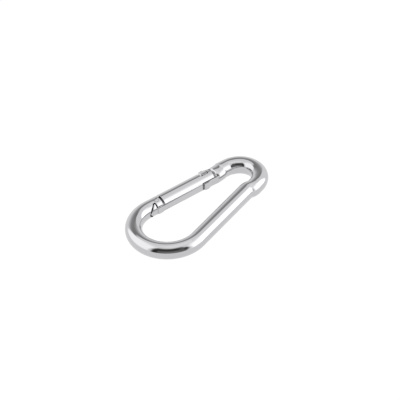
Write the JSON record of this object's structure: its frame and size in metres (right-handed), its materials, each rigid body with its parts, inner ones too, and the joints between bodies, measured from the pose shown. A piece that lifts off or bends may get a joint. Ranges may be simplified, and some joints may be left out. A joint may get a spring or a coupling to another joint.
{
  "type": "spring snap hook",
  "caption": "Pear-shaped snap hook bent from round wire, with a straight spring-loaded gate that swings inward and latches on a T-shaped nose.",
  "frame": {"origin": "middle of the hook's bounding box in plan, on the plane that it lies on", "axes": "+X from the hinge end to the nose end along the gate, +Y from the open eye towards the gate, +Z out of the plane of the hook"},
  "size_m": [0.08, 0.0406, 0.008],
  "materials": {
    "body_metal": "mirror polished stainless steel",
    "gate_metal": "mirror polished stainless steel",
    "rivet_metal": "peened and polished flush",
    "plunger_metal": "turned and ground",
    "spring_wire": "drawn wire"
  },
  "bodies": {
    "hook_body": {"body": "body_metal", "hinge_rivet": "rivet_metal"},
    "gate": {"gate": "gate_metal", "gate_spring": "spring_wire"},
    "plunger": {"plunger": "plunger_metal"}
  },
  "joints": [
    {"name": "gate_swing", "type": "hinge", "parent": "hook_body", "child": "gate", "pos_m": [-0.0155, 0.01495, 0.004], "axis": [0, 0, -1], "range_deg": [0, 27], "stiffness_Nm_per_rad": 0.01, "springref_deg": -68.75},
    {"name": "plunger_slide", "type": "slide", "parent": "gate", "child": "plunger", "axis": [1, 0, 0], "range_m": [0, 0.001], "deforming": ["gate_spring"]}
  ],
  "couplings": [
    {"joint": "plunger_slide", "follows": "gate_swing", "m_per_rad": 0.0019}
  ]
}
